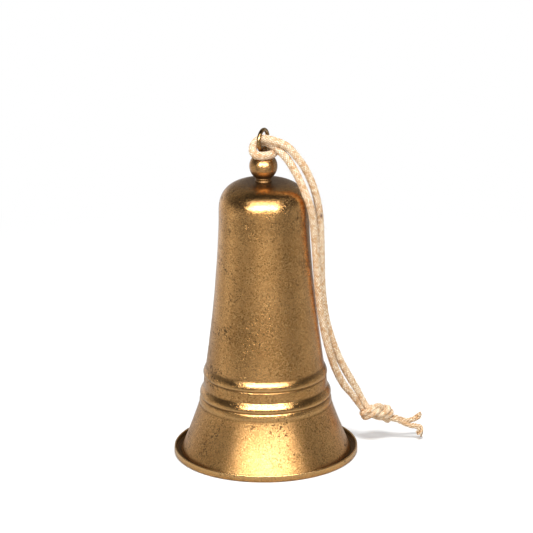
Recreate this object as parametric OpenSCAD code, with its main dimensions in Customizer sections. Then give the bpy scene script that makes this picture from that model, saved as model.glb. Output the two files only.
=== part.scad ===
// Hanging hand bell: a spun sheet-metal bell with two pressed ridges and an upturned
// lip, a ball finial with a wire ring, a clapper on a chain link, and a cord loop that
// is cow-hitched to the ring and ends in an overhand knot with two tails.
// Frame: origin on the bell's axis at the plane it stands on, +Z up. Millimetres.

/* [Bell] */
// Outer radius of the upturned lip
lip_r = 48; // [47:0.5:49]
// Height of the upturned lip above the standing plane
lip_h = 3.75; // [3.2:0.05:4.2]
// Thickness of the spun sheet
wall = 0.9; // [0.8:0.05:1.1]
// Radius at which the flare runs into the gutter behind the lip
flare_end_r = 44.4; // [44:0.1:44.8]
// Power of the flare's curve, 1 being a straight cone
flare_power = 1.12; // [1:0.02:1.3]
// Height of the crown's flat top
crown_z = 147.5; // [146:0.5:149]
// Depth of the rounded shoulder below the crown
shoulder_h = 16.5; // [15:0.5:18]
// Radius of the body just below the shoulder
body_top_r = 23.35; // [23:0.05:24]
// Power of the body's taper, 1 being a straight cone
body_power = 1.57; // [1.3:0.01:1.8]
// Squareness of the shoulder, 2 being an ellipse
shoulder_power = 2.6; // [2.2:0.1:3]

/* [Ridges] */
// Height at which the upper ridge starts to swell
ridge_top_z = 48.3; // [48:0.1:49]
// Distance from the upper ridge down to the lower one
ridge_pitch = 11.1; // [10.8:0.1:11.4]
// Height of each ridge's swelling face
ridge_face_h = 4.3; // [4:0.1:4.6]
// Depth of the step under each ridge
ridge_step = 0.7; // [0.5:0.05:0.8]

/* [Finial] */
// Radius of the ball
ball_r = 7.3; // [7:0.1:7.6]
// Height of the ball's centre
ball_z = 155.6; // [155.2:0.1:156]
// Radius of the collar between crown and ball
collar_r = 4.4; // [4:0.1:4.8]
// Radius of the wire that the ring is bent from
ring_wire_r = 1.05; // [0.9:0.05:1.15]
// Radius of the ring at the middle of its wire
ring_r = 5.45; // [5.4:0.05:5.6]
// Angle of the ring's plane from the X axis, in degrees
ring_turn = 65; // [60:5:70]

/* [Clapper] */
// Radius of the clapper's striking ball
strike_r = 9; // [8:0.5:9]
// Height of the striking ball's centre at rest
strike_z = 24; // [23:0.5:26]
// Radius of the clapper rod
rod_r = 1.25; // [1:0.05:1.4]
// Radius of the hanger's eye at the middle of its wire
eye_r = 3.4; // [3.3:0.1:3.8]
// Radius of the link at the middle of its wire
link_r = 3.6; // [3.4:0.1:4]
// Radius of the link's wire
link_wire_r = 0.9; // [0.7:0.05:0.9]
// Play between wires that hang in each other
link_play = 0.25; // [0.2:0.05:0.4]

/* [Cord] */
// Diameter of the cord
cord_d = 4; // [3.6:0.1:4]

/* [Hidden] */
$fn = 96;
rod_fn = 48;
wire_fn = 32;
past = 1; // how far a cutter reaches past what it cuts

// Bell shell
crown_flat_r = 5;
shoulder_z = crown_z - shoulder_h;
shoulder_steps = 16;
body_steps = 14;
flare_steps = 14;
arc_steps = 5;
body_spread = 7.13;
body_span = 80;
groove_h = 0.9;
step_mid_in = 0.25;
step_mid_down = 0.55;
groove_exit_h = 0.7;
groove_1_out = 0.35;
groove_2_out = 0.5;
ridge_1_r = 32.4;
ridge_2_r = 34.3;
band_r = 32.35;
bead_r = 34.6;
bead_z = 28.9;
bead_top_in = 0.1;
bead_top_h = 0.9;
flare_z = 28.1;
flare_r = 34.55;
gutter_fillet = 0.7;
lip_fillet = 0.65;
foot_round = 1;
mouth_round = 0.7;
wall_slant = 1.06;
wall_r = wall * wall_slant;

// Finial and hanger
stud_r = 1.5;
bore_play = 0.05;
hole_play = 0.2;
ring_z = ball_z + ball_r + ring_r + ring_wire_r;
ring_shank = 6;
stud_top_z = 152.5;
collar_edge = 0.3;
washer_r = 4.5;
washer_h = 0.8;
nut_flats = 5.5;
nut_h = 2.4;
washer_z = crown_z - wall - washer_h;
nut_z = washer_z - nut_h;
eye_wire_r = 1;
stud_end = 1.4;
eye_z = nut_z - stud_end - eye_r;

// Clapper: each lower wire hangs in the one above it
swing_1_z = eye_z - eye_r;
link_z = swing_1_z + eye_wire_r + link_play + link_wire_r - link_r;
swing_2_z = link_z - link_r;
rod_eye_r = 3;
rod_eye_wire_r = 0.9;
rod_eye_z = swing_2_z + link_wire_r + link_play + rod_eye_wire_r - rod_eye_r;
strike_flat = 8.6;
shoulder_r = 2;
shoulder_thick = 1;
end_nut_flats = 5;
end_nut_h = 2;
rod_end = 0.6;

// Cord: the hitch's points are in the ring's own directions, through the ring (n),
// along its plane (u) and up (z) from its centre
cord_r = cord_d / 2;
cord_sides = 8;
tube_side = [0.1, 1, 0.2];
hitch_route = [
    [9, -1, 0.2], [4.5, -1.5, 1.1], [0, -1.7, 1.2], [-2.4, -2.8, -0.1], [-3.5, -4.5, -2.4],
    [-2.9, -6.2, -4.8], [-1, -7.2, -6.1], [1.6, -6.9, -6.4], [4.3, -4.8, -6.4], [5.5, -1.8, -6.4],
    [5.4, 1.8, -6.4], [3.8, 4.8, -6.3], [1.2, 6.8, -6.2], [-2, 6.8, -5.6], [-4.1, 5.2, -4.4],
    [-3.9, 3.4, -2.9], [-2.3, 2.3, -1.7], [0, 1.7, -1.2], [4.5, 0.6, -1.9], [9, -0.5, -4]
];
strand_a_route = [
    [12.7, -5.4, 167.1], [16.8, -5.9, 162.5], [20.8, -6, 156.9], [24.4, -5.5, 149], [27, -5, 140.5],
    [28.6, -4.5, 131], [29.2, -3.5, 119], [29.4, -2.5, 107], [29.6, -1.5, 95], [30.4, -0.5, 83],
    [32, 1, 71.5], [34.8, 2.5, 60.5], [38.4, 4.5, 50], [43, 6.5, 40], [48, 8.8, 30.5], [52, 10.8, 23.6]
];
strand_b_route = [
    [12, -5.5, 161.2], [15.4, -6.6, 156], [18.6, -7.9, 149.9], [21.4, -8.9, 143.5], [23.8, -9.2, 136.7],
    [25.1, -8.7, 129.6], [26, -7.7, 120.4], [26.7, -6.6, 109.3], [27.3, -5.6, 98.3], [28.1, -5, 87.2],
    [29.4, -4.2, 76.2], [31.2, -2.6, 65.1], [33.8, -0.7, 54], [37, 2, 43.5], [41.3, 5, 34], [45.4, 7.4, 28],
    [49.6, 9.2, 23]
];
tail_a_route = [
    [65.4, 15.6, 12.4], [68.8, 16.6, 11.6], [72.4, 17.2, 9.9], [75.6, 17.6, 9.2], [78.2, 17.8, 9.9],
    [80.5, 17.8, 11.2], [82.6, 17.6, 12.6]
];
tail_b_route = [
    [65.4, 12.8, 12.2], [68.6, 13.3, 11.4], [72.2, 13.6, 9.7], [75.4, 13.8, 7.9], [78.4, 13.9, 7.5],
    [81, 13.9, 6.9], [82, 13.7, 5], [81.2, 13.4, 3.2], [80.3, 13.2, 2.3]
];
knot_centre = [58.4, 12.4, 15.8];
knot_axis = [16, 4, -9];
knot_half = 9.5;
knot_r = 6.3;
knot_end_r = 3.6;
knot_steps = 8;

// Point on a circular arc in the profile's plane
function arc(centre, radius, from, to, steps) = [
    for (i = [0:steps])
        let (a = from + (to - from) * i / steps)
            [centre[0] + radius * cos(a), centre[1] + radius * sin(a)]
];

// Quarter superellipse of the shoulder, drawn in from the outside by inset
function shoulder(inset) = [
    for (i = [0:shoulder_steps])
        let (a = 90 * i / shoulder_steps)
            [
                crown_flat_r + (body_top_r - inset - crown_flat_r) * pow(sin(a), 2 / shoulder_power),
                shoulder_z + (shoulder_h - (inset > 0 ? wall : 0)) * pow(cos(a), 2 / shoulder_power)
            ]
];

// Radius of the tapering body at a height
function body_r(z) = body_top_r + body_spread * pow((shoulder_z - z) / body_span, body_power);

// Tapering body from below the shoulder down to the upper ridge
function body_curve() = [
    for (i = [1:body_steps])
        let (z = shoulder_z + (ridge_top_z - shoulder_z) * i / body_steps) [body_r(z), z]
];

// One ridge: a face that swells from start_r to full_r, a rounded edge and the step under it
function ridge(start_r, full_r, top) = concat(
    [
        for (i = [1:arc_steps])
            let (t = i / arc_steps)
                [start_r + (full_r - start_r) * sin(90 * t), top - ridge_face_h * t]
    ],
    [
        [full_r - ridge_step * step_mid_in, top - ridge_face_h - groove_h * step_mid_down],
        [full_r - ridge_step, top - ridge_face_h - groove_h]
    ]
);

// Radius of the flare at a height
function flare_at(z) =
    flare_r + (flare_end_r - flare_r) * pow((flare_z - z) / (flare_z - wall - gutter_fillet), flare_power);

// Flare from under the bead down to the gutter
function flare_curve() = [
    for (i = [0:flare_steps])
        let (z = flare_z + (wall + gutter_fillet - flare_z) * i / flare_steps) [flare_at(z), z]
];

ridge_2_top = ridge_top_z - ridge_pitch;
groove_1_z = ridge_top_z - ridge_face_h - groove_h;
groove_2_z = ridge_2_top - ridge_face_h - groove_h;

// Everything between the shoulder and the gutter, as radius and height
side_outer = concat(
    body_curve(),
    ridge(body_r(ridge_top_z), ridge_1_r, ridge_top_z),
    [[ridge_1_r - ridge_step + groove_1_out, groove_1_z - groove_exit_h], [band_r, ridge_2_top]],
    ridge(band_r, ridge_2_r, ridge_2_top),
    [[ridge_2_r - ridge_step + groove_2_out, groove_2_z - groove_exit_h]],
    [[bead_r - bead_top_in, bead_z + bead_top_h], [bead_r, bead_z]],
    flare_curve()
);
side_inner = [for (i = [len(side_outer) - 1:-1:0]) [side_outer[i][0] - wall_r, side_outer[i][1]]];
shoulder_inner = shoulder(wall_r);
lip_top_r = wall / 2;

shell_profile = concat(
    [[stud_r + hole_play, crown_z]],
    shoulder(0),
    side_outer,
    arc([flare_end_r + gutter_fillet, wall + gutter_fillet], gutter_fillet, 190, 270, arc_steps),
    arc([lip_r - wall - lip_fillet, wall + lip_fillet], lip_fillet, 270, 360, arc_steps),
    arc([lip_r - lip_top_r, lip_h - lip_top_r], lip_top_r, 180, 0, 2 * arc_steps),
    arc([lip_r - foot_round, foot_round], foot_round, 0, -90, arc_steps),
    arc([flare_end_r - wall_r + mouth_round, mouth_round], mouth_round, 270, 190, arc_steps),
    side_inner,
    [for (i = [shoulder_steps:-1:0]) shoulder_inner[i]],
    [[stud_r + hole_play, crown_z - wall]]
);

// Part position of a point given in the ring's own directions
function ring_point(p) = [
    p[0] * sin(ring_turn) + p[1] * cos(ring_turn),
    -p[0] * cos(ring_turn) + p[1] * sin(ring_turn),
    ring_z + p[2]
];

// Tube along a route: unit vectors, then one side vector carried from point to point
function unit(v) = v / norm(v);
function heading(route, i) = unit(route[min(i + 1, len(route) - 1)] - route[max(i - 1, 0)]);
function square_to(v, t) = unit(v - (v * t) * t);
function side_vectors(route, i, before) =
    i == len(route) ? [] :
    let (now = square_to(before, heading(route, i)))
        concat([now], side_vectors(route, i + 1, now));

module tube(route, radius) {
    sides = side_vectors(route, 0, tube_side);
    count = len(route);
    rings = [
        for (i = [0:count - 1])
            let (s = sides[i], w = cross(heading(route, i), s))
                for (k = [0:cord_sides - 1])
                    let (a = 360 * k / cord_sides)
                        route[i] + radius * (cos(a) * s + sin(a) * w)
    ];
    walls = [
        for (i = [0:count - 2])
            for (k = [0:cord_sides - 1])
                let (a = i * cord_sides + k, b = i * cord_sides + (k + 1) % cord_sides)
                    each [[a, a + cord_sides, b], [b, a + cord_sides, b + cord_sides]]
    ];
    start_cap = [for (k = [0:cord_sides - 1]) k];
    end_cap = [for (k = [cord_sides - 1:-1:0]) (count - 1) * cord_sides + k];
    polyhedron(points = rings, faces = concat([start_cap], walls, [end_cap]));
}

// Wire ring of a given wire, standing upright in the plane of X and Z
module upright_ring(radius, wire) {
    rotate([90, 0, 0])
        rotate_extrude()
            translate([radius, 0]) circle(r = wire, $fn = wire_fn);
}

module rod(radius, low, high) {
    translate([0, 0, low]) cylinder(r = radius, h = high - low, $fn = rod_fn);
}

module hex_nut(flats, low, high, bore) {
    difference() {
        translate([0, 0, low]) cylinder(r = flats / sqrt(3), h = high - low, $fn = 6);
        rod(bore, low - past, high + past);
    }
}

module bell_shell() {
    color("#A97C3B") rotate_extrude() polygon(shell_profile);
}

module finial_ball() {
    color("#A97C3B")
        difference() {
            translate([0, 0, ball_z]) sphere(r = ball_r);
            rod(ring_wire_r + bore_play, ball_z + ball_r - ring_shank, ball_z + ball_r + past);
            rod(stud_r + bore_play, ball_z - ball_r - past, stud_top_z + bore_play);
        }
}

module finial_collar() {
    top = ball_z - sqrt(ball_r * ball_r - collar_r * collar_r);
    color("#A97C3B")
        difference() {
            rotate_extrude()
                polygon([
                    [stud_r + bore_play, crown_z], [collar_r - collar_edge, crown_z],
                    [collar_r, crown_z + collar_edge], [collar_r, top - collar_edge],
                    [collar_r - collar_edge, top], [stud_r + bore_play, top]
                ]);
            translate([0, 0, ball_z]) sphere(r = ball_r);
        }
}

module ring_eye() {
    color("#A97C3B")
        union() {
            translate([0, 0, ring_z]) rotate([0, 0, ring_turn]) upright_ring(ring_r, ring_wire_r);
            rod(ring_wire_r, ball_z + ball_r - ring_shank + bore_play, ring_z - ring_r);
        }
}

module clapper_hanger() {
    color("#7B6A50")
        union() {
            rod(stud_r, eye_z + eye_r, stud_top_z);
            translate([0, 0, eye_z]) upright_ring(eye_r, eye_wire_r);
        }
}

module crown_washer() {
    color("#7B6A50")
        difference() {
            rod(washer_r, washer_z, washer_z + washer_h);
            rod(stud_r + bore_play, washer_z - past, washer_z + washer_h + past);
        }
}

module crown_nut() {
    color("#7B6A50") hex_nut(nut_flats, nut_z, nut_z + nut_h, stud_r + bore_play);
}

module clapper_link() {
    color("#7B6A50") translate([0, 0, link_z]) rotate([0, 0, 90]) upright_ring(link_r, link_wire_r);
}

module clapper_rod() {
    end_z = strike_z - strike_flat - end_nut_h - rod_end;
    color("#7B6A50")
        union() {
            translate([0, 0, rod_eye_z]) upright_ring(rod_eye_r, rod_eye_wire_r);
            rod(rod_r, end_z, rod_eye_z - rod_eye_r);
            rod(shoulder_r, strike_z + strike_flat, strike_z + strike_flat + shoulder_thick);
        }
}

module clapper_ball() {
    color("#7B6A50")
        difference() {
            translate([0, 0, strike_z])
                intersection() {
                    sphere(r = strike_r);
                    cube([4 * strike_r, 4 * strike_r, 2 * strike_flat], center = true);
                }
            rod(rod_r + bore_play, strike_z - strike_r - past, strike_z + strike_r + past);
        }
}

module clapper_nut() {
    top = strike_z - strike_flat;
    color("#7B6A50") hex_nut(end_nut_flats, top - end_nut_h, top, rod_r + bore_play);
}

hitch_points = [for (p = hitch_route) ring_point(p)];

module cord_hitch() {
    color("#E3CBA4") tube(hitch_points, cord_r);
}

module cord_strand_a() {
    color("#E3CBA4") tube(concat([hitch_points[0]], strand_a_route), cord_r);
}

module cord_strand_b() {
    color("#E3CBA4") tube(concat([hitch_points[len(hitch_points) - 1]], strand_b_route), cord_r);
}

// The knot's outer shape: a barrel along the cord's run
module cord_knot() {
    d = unit(knot_axis);
    color("#E3CBA4")
        translate(knot_centre)
            rotate([0, acos(d[2]), atan2(d[1], d[0])])
                rotate_extrude($fn = rod_fn)
                    polygon(concat(
                        [[0, -knot_half]],
                        [
                            for (i = [0:knot_steps])
                                let (a = 180 * i / knot_steps)
                                    [knot_end_r + (knot_r - knot_end_r) * sin(a), -knot_half * cos(a)]
                        ],
                        [[0, knot_half]]
                    ));
}

module cord_tail_a() {
    color("#E3CBA4") tube(tail_a_route, cord_r);
}

module cord_tail_b() {
    color("#E3CBA4") tube(tail_b_route, cord_r);
}

bell_shell();
finial_ball();
finial_collar();
ring_eye();
clapper_hanger();
crown_washer();
crown_nut();
clapper_link();
clapper_rod();
clapper_ball();
clapper_nut();
cord_hitch();
cord_strand_a();
cord_strand_b();
cord_knot();
cord_tail_a();
cord_tail_b();
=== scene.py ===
import bpy
import math
import numpy as np
from mathutils import Matrix, Vector


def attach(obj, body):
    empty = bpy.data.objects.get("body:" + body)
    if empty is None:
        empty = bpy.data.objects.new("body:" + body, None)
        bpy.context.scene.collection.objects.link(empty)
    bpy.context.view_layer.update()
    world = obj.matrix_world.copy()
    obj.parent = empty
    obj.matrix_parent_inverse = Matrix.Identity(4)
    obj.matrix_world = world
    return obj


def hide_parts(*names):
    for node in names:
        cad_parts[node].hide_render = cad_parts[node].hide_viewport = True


# Looks for the hanging bell: aged brass shell and finial, iron clapper, braided jute cord loop.
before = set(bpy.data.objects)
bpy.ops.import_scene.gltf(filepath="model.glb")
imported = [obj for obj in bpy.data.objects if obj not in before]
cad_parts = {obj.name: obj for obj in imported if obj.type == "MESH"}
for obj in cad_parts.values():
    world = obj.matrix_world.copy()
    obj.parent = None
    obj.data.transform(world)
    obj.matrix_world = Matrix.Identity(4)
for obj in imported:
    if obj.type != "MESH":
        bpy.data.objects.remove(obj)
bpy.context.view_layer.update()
MM = 0.001
TURN = 2 * math.pi


# ---------------------------------------------------------------- camera
# metres and degrees; VIEW_WIDTH is the frame's width at the target's distance
VIEW_TARGET = Vector((1.156, 0, 101.38)) * MM
VIEW_DISTANCE = 1.972
VIEW_ELEVATION = math.radians(18.025)
VIEW_ROLL = math.radians(0.516)
VIEW_WIDTH = 0.2759
SENSOR = 36


def make_camera():
    forward = Vector((0, math.cos(VIEW_ELEVATION), -math.sin(VIEW_ELEVATION)))
    up = Vector((0, math.sin(VIEW_ELEVATION), math.cos(VIEW_ELEVATION)))
    side = Vector((1, 0, 0))
    right = math.cos(VIEW_ROLL) * side - math.sin(VIEW_ROLL) * up
    above = math.sin(VIEW_ROLL) * side + math.cos(VIEW_ROLL) * up
    data = bpy.data.cameras.new("camera")
    data.sensor_width = SENSOR
    data.lens = SENSOR * VIEW_DISTANCE / VIEW_WIDTH
    data.clip_start, data.clip_end = 0.05, 30
    cam = bpy.data.objects.new("camera", data)
    bpy.context.scene.collection.objects.link(cam)
    turn = Matrix((right, above, -forward)).transposed()
    cam.matrix_world = Matrix.Translation(VIEW_TARGET - VIEW_DISTANCE * forward) @ turn.to_4x4()
    bpy.context.scene.camera = cam


make_camera()


# ---------------------------------------------------------------- mesh helpers, in millimetres
def unit(v):
    return v / np.maximum(np.linalg.norm(v, axis=-1, keepdims=True), 1e-12)


def arc_length(line):
    return np.concatenate([[0], np.cumsum(np.linalg.norm(np.diff(line, axis=0), axis=1))])


def resample(line, step):
    along = arc_length(line)
    at = np.linspace(0, along[-1], max(2, int(round(along[-1] / step)) + 1))
    return np.stack([np.interp(at, along, line[:, k]) for k in range(line.shape[1])], axis=1)


def smooth_line(points, step, passes):
    """An even, smooth curve through a few points: centripetal Catmull-Rom, then some averaging."""
    p = np.asarray(points, float)
    p = np.concatenate([[2 * p[0] - p[1]], p, [2 * p[-1] - p[-2]]])
    out = []
    for i in range(1, len(p) - 2):
        q = p[i - 1:i + 3]
        t = np.concatenate([[0], np.cumsum(np.sqrt(np.linalg.norm(np.diff(q, axis=0), axis=1)))])
        u = np.linspace(t[1], t[2], 24, endpoint=False)[:, None]
        a = [(t[k + 1] - u) / (t[k + 1] - t[k]) * q[k] + (u - t[k]) / (t[k + 1] - t[k]) * q[k + 1] for k in range(3)]
        b = [(t[k + 2] - u) / (t[k + 2] - t[k]) * a[k] + (u - t[k]) / (t[k + 2] - t[k]) * a[k + 1] for k in range(2)]
        out.append((t[2] - u) / (t[2] - t[1]) * b[0] + (u - t[1]) / (t[2] - t[1]) * b[1])
    line = resample(np.concatenate(out + [p[-2][None]]), step)
    return averaged(line, passes)


def averaged(line, passes):
    for _ in range(passes):
        line = line.copy()
        line[1:-1] = 0.25 * line[:-2] + 0.5 * line[1:-1] + 0.25 * line[2:]
    return line


def frames(line, closed=False):
    """Tangents and two side vectors carried along a line without twist."""
    if closed:
        tangent = unit(np.roll(line, -1, axis=0) - np.roll(line, 1, axis=0))
    else:
        tangent = unit(np.gradient(line, axis=0))
    side = np.zeros_like(line)
    now = np.array([0.1, 1, 0.2])
    for i, t in enumerate(tangent):
        now = now - (now @ t) * t
        now = now / np.linalg.norm(now)
        side[i] = now
    return tangent, side, np.cross(tangent, side)


def grid_faces(rows, cols, closed_rows=False):
    """Quads of a grid whose columns close on themselves."""
    i = np.arange(rows if closed_rows else rows - 1)[:, None]
    k = np.arange(cols)[None]
    a, b = i * cols + k, i * cols + (k + 1) % cols
    n = ((i + 1) % rows) * cols
    c, d = n + (k + 1) % cols, n + k
    return np.stack(np.broadcast_arrays(a, d, c, b), axis=-1).reshape(-1, 4)


def new_object(name, points, faces, body, material):
    """A smooth-shaded mesh object from millimetre points, riding on a body."""
    mesh = bpy.data.meshes.new(name)
    mesh.from_pydata((np.asarray(points) * MM).tolist(), [], [list(map(int, f)) for f in faces])
    mesh.validate()
    mesh.update()
    mesh.polygons.foreach_set("use_smooth", [True] * len(mesh.polygons))
    obj = bpy.data.objects.new(name, mesh)
    bpy.context.scene.collection.objects.link(obj)
    mesh.materials.append(material)
    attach(obj, body)
    return obj


def tube(line, radius, sides, closed=False, phase=0.0, profile=None):
    """A tube along a line: points, faces, and each point's angle and distance along. profile(angle, along)
    scales the radius."""
    line = np.asarray(line, float)
    _, side, other = frames(line, closed)
    angle = TURN * np.arange(sides) / sides
    along = arc_length(line) + phase
    r = np.broadcast_to(np.asarray(radius, float), (len(line),))[:, None]
    a, s = np.broadcast_arrays(angle[None], along[:, None])
    if profile is not None:
        r = r * profile(a, s)
    points = line[:, None] + (r * np.cos(a))[..., None] * side[:, None] + (r * np.sin(a))[..., None] * other[:, None]
    faces = [list(f) for f in grid_faces(len(line), sides, closed)]
    points = points.reshape(-1, 3)
    a, s = a.reshape(-1), s.reshape(-1)
    if not closed:
        ends = np.array([line[0], line[-1]])
        points = np.concatenate([points, ends])
        a, s = np.append(a, [0, 0]), np.append(s, [along[0], along[-1]])
        n = len(line) * sides
        last = (len(line) - 1) * sides
        for k in range(sides):
            faces.append([n, k, (k + 1) % sides])
            faces.append([n + 1, last + (k + 1) % sides, last + k])
    return points, faces, a, s


def joined(parts):
    """Several (points, faces, ...) as one."""
    points, faces, rest, base = [], [], [], 0
    for part in parts:
        points.append(part[0])
        faces += [[v + base for v in f] for f in part[1]]
        rest.append(part[2:])
        base += len(part[0])
    return [np.concatenate(points), faces] + [np.concatenate(r) for r in zip(*rest)]


def revolve(profile, segments, closed, wave=None):
    """A profile of (radius, height) turned round Z. A radius of zero at an end makes a pole."""
    profile = np.asarray(profile, float)
    poles = [] if closed else [i for i in (0, -1) if profile[i][0] < 1e-6]
    start, stop = (1 if 0 in poles else 0), (len(profile) - 1 if -1 in poles else len(profile))
    body = profile[start:stop]
    angle = TURN * np.arange(segments) / segments
    r = np.repeat(body[:, :1], segments, axis=1)
    z = np.repeat(body[:, 1:], segments, axis=1)
    if wave is not None:
        r = r + wave(angle[None], z)
    points = np.stack([r * np.cos(angle), r * np.sin(angle), z], axis=-1).reshape(-1, 3)
    faces = [list(f) for f in grid_faces(len(body), segments, closed)]
    n = len(points)
    for i in poles:
        points = np.concatenate([points, [[0, 0, profile[i][1]]]])
        row = 0 if i == 0 else (len(body) - 1) * segments
        for k in range(segments):
            pair = [row + (k + 1) % segments, row + k]
            faces.append([n] + (pair[::-1] if i == 0 else pair))
        n += 1
    return points, faces


def keep_corners(points, within, longest):
    """A line's points without those that lie near the straight line between their neighbours."""
    kept = [0]
    for i in range(1, len(points)):
        a = points[kept[-1]]
        if i == len(points) - 1:
            kept.append(i)
            break
        b = points[i + 1]
        d = b - a
        span = np.linalg.norm(d)
        inner = points[kept[-1] + 1:i + 1] - a
        away = np.abs(inner[:, 0] * d[1] - inner[:, 1] * d[0]) / max(span, 1e-9)
        if away.max() > within or span > longest:
            kept.append(i)
    return points[kept]


# ---------------------------------------------------------------- materials
class Nodes:
    """Short calls for building a material's node tree."""

    def __init__(self, tree):
        self.tree = tree

    def add(self, kind, inputs=None, **settings):
        node = self.tree.nodes.new(kind)
        for key, value in settings.items():
            setattr(node, key, value)
        for key, value in (inputs or {}).items():
            self.put(node.inputs[key], value)
        return node

    def put(self, socket, value):
        if isinstance(value, bpy.types.NodeSocket):
            self.tree.links.new(value, socket)
        elif isinstance(value, bpy.types.Node):
            self.tree.links.new(value.outputs[0], socket)
        else:
            socket.default_value = value

    def math(self, operation, a, b=None, c=None, clamp=False):
        node = self.add("ShaderNodeMath", operation=operation, use_clamp=clamp)
        for socket, value in zip(node.inputs, (a, b, c)):
            if value is not None:
                self.put(socket, value)
        return node.outputs[0]

    def noise(self, vector, scale, detail=2.0, roughness=0.5, distortion=0.0):
        return self.add(
            "ShaderNodeTexNoise",
            {"Vector": vector, "Scale": scale, "Detail": detail, "Roughness": roughness, "Distortion": distortion},
        ).outputs["Fac"]

    def ramp(self, value, low, high, to_low=0.0, to_high=1.0):
        return self.add(
            "ShaderNodeMapRange",
            {"Value": value, "From Min": low, "From Max": high, "To Min": to_low, "To Max": to_high},
            interpolation_type="SMOOTHSTEP",
        ).outputs[0]

    def mix(self, factor, a, b):
        node = self.add("ShaderNodeMix", data_type="RGBA")
        for socket, value in ((node.inputs[0], factor), (node.inputs[6], a), (node.inputs[7], b)):
            self.put(socket, value)
        return node.outputs[2]

    def bump(self, height, strength, distance):
        inputs = {"Height": height, "Strength": strength, "Distance": distance}
        return self.add("ShaderNodeBump", inputs).outputs[0]

    def attribute(self, name):
        return self.add("ShaderNodeAttribute", attribute_name=name).outputs["Fac"]


def new_material(name):
    material = bpy.data.materials.new(name)
    material.use_nodes = True
    tree = material.node_tree
    tree.nodes.clear()
    n = Nodes(tree)
    shader = n.add("ShaderNodeBsdfPrincipled")
    out = n.add("ShaderNodeOutputMaterial")
    tree.links.new(shader.outputs[0], out.inputs[0])
    return material, n, shader


def rgb(r, g, b):
    return (r, g, b, 1.0)


# the dark of pits and of painted shade on brass, iron rust, and a stain on the cord
PITS_AND_SHADE_DARK, RUST, STAIN = rgb(0.045, 0.026, 0.012), rgb(0.13, 0.055, 0.022), rgb(0.12, 0.06, 0.045)


def brass_material(name, base, dark, light, rough, pits, grain):
    """Aged, lacquered brass: mottled colour, fine cast grain, clusters of dark pits, a painted highlight on rubbed
    edges and painted shade where the shade mask marks it.
    """
    deep = rgb(*[0.5 * c for c in dark[:3]])
    pitted_from = 0.62 - 0.12 * pits
    material, n, shader = new_material(name)
    where = n.add("ShaderNodeTexCoord").outputs["Object"]
    wear_and_highlight = n.attribute("wear_and_highlight")
    shade_and_grime = n.attribute("shade_and_grime")
    matt = n.attribute("matt")
    pitted = n.attribute("pitted")
    cloud = n.noise(where, 38, 3, 0.5, 0.4)
    mottle = n.noise(where, 300, 3, 0.6, 0.6)
    worm = n.noise(where, 1450, 2, 0.6, 0.9)
    speck = n.noise(where, 2300, 2, 0.5)
    colour = n.mix(n.ramp(cloud, 0.3, 0.7), dark, base)
    colour = n.mix(n.math("MULTIPLY", n.ramp(mottle, 0.45, 0.75), 0.3), colour, light)
    colour = n.mix(n.math("MULTIPLY", n.ramp(worm, 0.52, 0.38), n.ramp(mottle, 0.3, 0.62, 0.35, 1.0)), colour, deep)
    colour = n.mix(n.math("MULTIPLY", n.ramp(worm, 0.54, 0.67), 0.7), colour, light)
    # painted highlight: lighter colour along the rubbed edges
    colour = n.mix(n.math("MULTIPLY", wear_and_highlight, 0.75), colour, light)
    cells = n.add(
        "ShaderNodeTexVoronoi", {"Vector": where, "Scale": 820, "Randomness": 1.0}, feature="F1"
    ).outputs["Distance"]
    near = n.ramp(cells, 0.36, 0.16)
    patch = n.noise(where, 55, 3, 0.6, 0.8)
    lone = n.noise(where, 520, 1, 0.5)
    shade = n.math("MULTIPLY", pitted, n.ramp(worm, 0.62, 0.4, 0.1, 0.75), clamp=True)
    colour = n.mix(shade, colour, deep)
    cluster = n.ramp(n.math("MULTIPLY_ADD", pitted, 0.2, patch), pitted_from, pitted_from + 0.16)
    blot = n.ramp(n.noise(where, 560, 4, 0.72, 0.5), 0.54, 0.6)
    spots = n.math("MAXIMUM", blot, n.math("MULTIPLY", near, n.ramp(lone, 0.42, 0.54)))
    pit = n.math("MULTIPLY", spots, cluster, clamp=True)
    # pits and painted shade darken the colour together and make it rougher
    pits_and_shade = n.math("MAXIMUM", pit, shade_and_grime, clamp=True)
    colour = n.mix(n.math("MULTIPLY", pits_and_shade, 0.88), colour, PITS_AND_SHADE_DARK)
    n.put(shader.inputs["Base Color"], colour)
    shader.inputs["Metallic"].default_value = 1.0
    r = n.math("MULTIPLY_ADD", matt, 0.2, rough)
    r = n.math("MULTIPLY_ADD", n.ramp(worm, 0.3, 0.7), -0.07, r)
    r = n.math("MULTIPLY_ADD", n.ramp(cloud, 0.7, 0.3), 0.05, r)
    r = n.math("MULTIPLY_ADD", pits_and_shade, 0.3, r)
    r = n.math("MULTIPLY_ADD", wear_and_highlight, -0.1, r)
    n.put(shader.inputs["Roughness"], r)
    height = n.math("MULTIPLY_ADD", speck, 0.35, worm)
    height = n.math("MULTIPLY_ADD", mottle, 0.5, height)
    height = n.math("MULTIPLY_ADD", pit, -0.5, height)
    n.put(shader.inputs["Normal"], n.bump(height, grain, 0.00012))
    return material


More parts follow.
